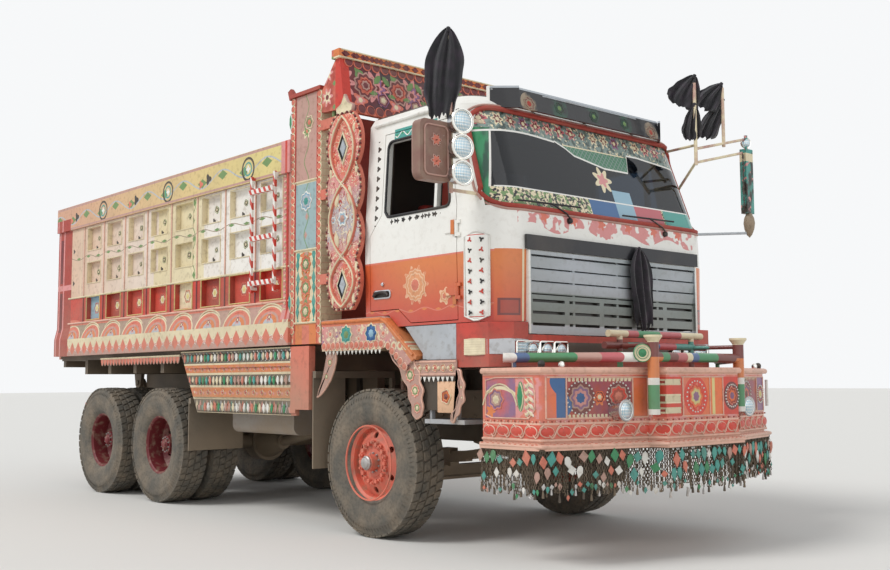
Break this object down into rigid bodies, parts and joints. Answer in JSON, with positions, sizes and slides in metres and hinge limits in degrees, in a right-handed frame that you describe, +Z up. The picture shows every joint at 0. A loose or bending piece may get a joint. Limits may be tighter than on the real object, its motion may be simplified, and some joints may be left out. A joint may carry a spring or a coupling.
{
  "type": "decorated six wheel tipper truck",
  "caption": "Forward control tipper truck with painted folk decoration, tipping body on an underbody hoist, opening doors, steering front wheels and a chain fringed bumper.",
  "frame": {"origin": "on the road under the middle of the truck's box", "axes": "+X forward, +Y to the truck's left side, +Z up"},
  "size_m": [8.052, 3.4, 3.75],
  "materials": {
    "frame": "dusty satin",
    "spring_steel": "dusty matt",
    "engine": "oily matt",
    "tank": "dusty satin",
    "cab_inside": "matt",
    "cab_paint": "gloss",
    "glass": "clear",
    "bright_trim": "polished",
    "dark_trim": "satin",
    "red_paint": "gloss",
    "seat_cover": "matt",
    "mirror_shell": "satin",
    "folk_paint": "satin",
    "step_grey": "satin",
    "flap_rubber": "dusty matt",
    "bumper_paint": "gloss",
    "chain_fringe": "dull",
    "lamp_glass": "clear",
    "black_cloth": "matt",
    "bed_steel": "worn",
    "bed_paint": "satin",
    "tyre": "dusty matt",
    "front_rim_paint": "satin",
    "rear_rim_paint": "dusty satin"
  },
  "bodies": {
    "truck": {"frame_rails": "frame", "crossmembers": "frame", "front_axle": "frame", "springs": "spring_steel", "rear_axles": "frame", "engine_block": "engine", "propshafts": "frame", "radiator": "engine", "side_tanks": "tank", "cab_floor": "cab_inside", "cab_back": "cab_paint", "cab_sides": "cab_paint", "cab_front": "cab_paint", "cab_roof": "cab_paint", "windscreen": "glass", "grille": "bright_trim", "visor": "dark_trim", "headlamp_bar": "red_paint", "dashboard": "dark_trim", "seats": "seat_cover", "steering_wheel": "dark_trim", "mirrors": "mirror_shell", "fenders": "folk_paint", "steps": "step_grey", "mud_flaps": "flap_rubber", "side_skirts": "folk_paint", "front_bumper": "bumper_paint", "bumper_rails": "folk_paint", "bumper_fringe": "chain_fringe", "lamps": "lamp_glass", "rear_lamp_bar": "red_paint", "black_cloths": "black_cloth", "cab_mounts": "frame"},
    "knuckle_right": {"knuckle_right": "frame"},
    "knuckle_left": {"knuckle_left": "frame"},
    "track_rod": {"track_rod": "frame"},
    "wheel_front_right": {"front_tyre_right": "tyre", "front_rim_right": "front_rim_paint"},
    "wheel_front_left": {"front_tyre_left": "tyre", "front_rim_left": "front_rim_paint"},
    "door_right": {"door_right": "cab_paint"},
    "door_left": {"door_left": "cab_paint"},
    "bed": {"bed_floor": "bed_steel", "bed_sides": "bed_paint", "headboard": "bed_paint", "crown": "folk_paint", "side_ornaments": "folk_paint", "ladder": "folk_paint"},
    "tailgate": {"tailgate": "red_paint"},
    "hoist_barrel": {"hoist_barrel": "frame"},
    "hoist_rod": {"hoist_rod": "bright_trim"},
    "wheel_rear_right_1": {"rear_tyres_right_1": "tyre", "rear_rims_right_1": "rear_rim_paint"},
    "wheel_rear_right_2": {"rear_tyres_right_2": "tyre", "rear_rims_right_2": "rear_rim_paint"},
    "wheel_rear_left_1": {"rear_tyres_left_1": "tyre", "rear_rims_left_1": "rear_rim_paint"},
    "wheel_rear_left_2": {"rear_tyres_left_2": "tyre", "rear_rims_left_2": "rear_rim_paint"}
  },
  "joints": [
    {"name": "steer_right", "type": "hinge", "parent": "truck", "child": "knuckle_right", "pos_m": [1.854, -0.88, 0.55], "axis": [0, 0, 1], "range_deg": [-35, 35]},
    {"name": "steer_left", "type": "hinge", "parent": "truck", "child": "knuckle_left", "pos_m": [1.854, 0.88, 0.55], "axis": [0, 0, 1], "range_deg": [-35, 35]},
    {"name": "track_rod_pivot", "type": "hinge", "parent": "knuckle_right", "child": "track_rod", "pos_m": [1.654, -0.88, 0.42], "axis": [0, 0, 1], "range_deg": [-35, 35]},
    {"name": "roll_front_right", "type": "hinge", "parent": "knuckle_right", "child": "wheel_front_right", "pos_m": [1.854, -1.04, 0.55], "axis": [0, 1, 0], "continuous": true},
    {"name": "roll_front_left", "type": "hinge", "parent": "knuckle_left", "child": "wheel_front_left", "pos_m": [1.854, 1.04, 0.55], "axis": [0, 1, 0], "continuous": true},
    {"name": "roll_rear_right_1", "type": "hinge", "parent": "truck", "child": "wheel_rear_right_1", "pos_m": [-1.463, -1.1, 0.55], "axis": [0, 1, 0], "continuous": true},
    {"name": "roll_rear_right_2", "type": "hinge", "parent": "truck", "child": "wheel_rear_right_2", "pos_m": [-2.763, -1.1, 0.55], "axis": [0, 1, 0], "continuous": true},
    {"name": "roll_rear_left_1", "type": "hinge", "parent": "truck", "child": "wheel_rear_left_1", "pos_m": [-1.463, 1.1, 0.55], "axis": [0, 1, 0], "continuous": true},
    {"name": "roll_rear_left_2", "type": "hinge", "parent": "truck", "child": "wheel_rear_left_2", "pos_m": [-2.763, 1.1, 0.55], "axis": [0, 1, 0], "continuous": true},
    {"name": "door_right_swing", "type": "hinge", "parent": "truck", "child": "door_right", "pos_m": [2.884, -1.215, 2.1], "axis": [0, 0, 1], "range_deg": [0, 70]},
    {"name": "door_left_swing", "type": "hinge", "parent": "truck", "child": "door_left", "pos_m": [2.884, 1.215, 2.1], "axis": [0, 0, -1], "range_deg": [0, 70]},
    {"name": "bed_tip", "type": "hinge", "parent": "truck", "child": "bed", "pos_m": [-3.436, 0, 1.15], "axis": [0, -1, 0], "range_deg": [0, 50]},
    {"name": "tailgate_swing", "type": "hinge", "parent": "bed", "child": "tailgate", "pos_m": [-3.979, 0, 2.96], "axis": [0, 1, 0], "range_deg": [0, 60]},
    {"name": "hoist_barrel_tilt", "type": "hinge", "parent": "truck", "child": "hoist_barrel", "pos_m": [-2.046, 0, 0.8], "axis": [0, -1, 0], "range_deg": [0, 66.5]},
    {"name": "hoist_rod_slide", "type": "slide", "parent": "hoist_barrel", "child": "hoist_rod", "axis": [0.9633, 0, 0.2684], "range_m": [0, 1.0922]}
  ],
  "couplings": [
    {"joint": "steer_left", "follows": "steer_right", "ratio": 1},
    {"joint": "track_rod_pivot", "follows": "steer_right", "ratio": -1},
    {"joint": "hoist_barrel_tilt", "follows": "bed_tip", "ratio": 1.3199},
    {"joint": "hoist_rod_slide", "follows": "bed_tip", "m_per_rad": 1.2458}
  ]
}
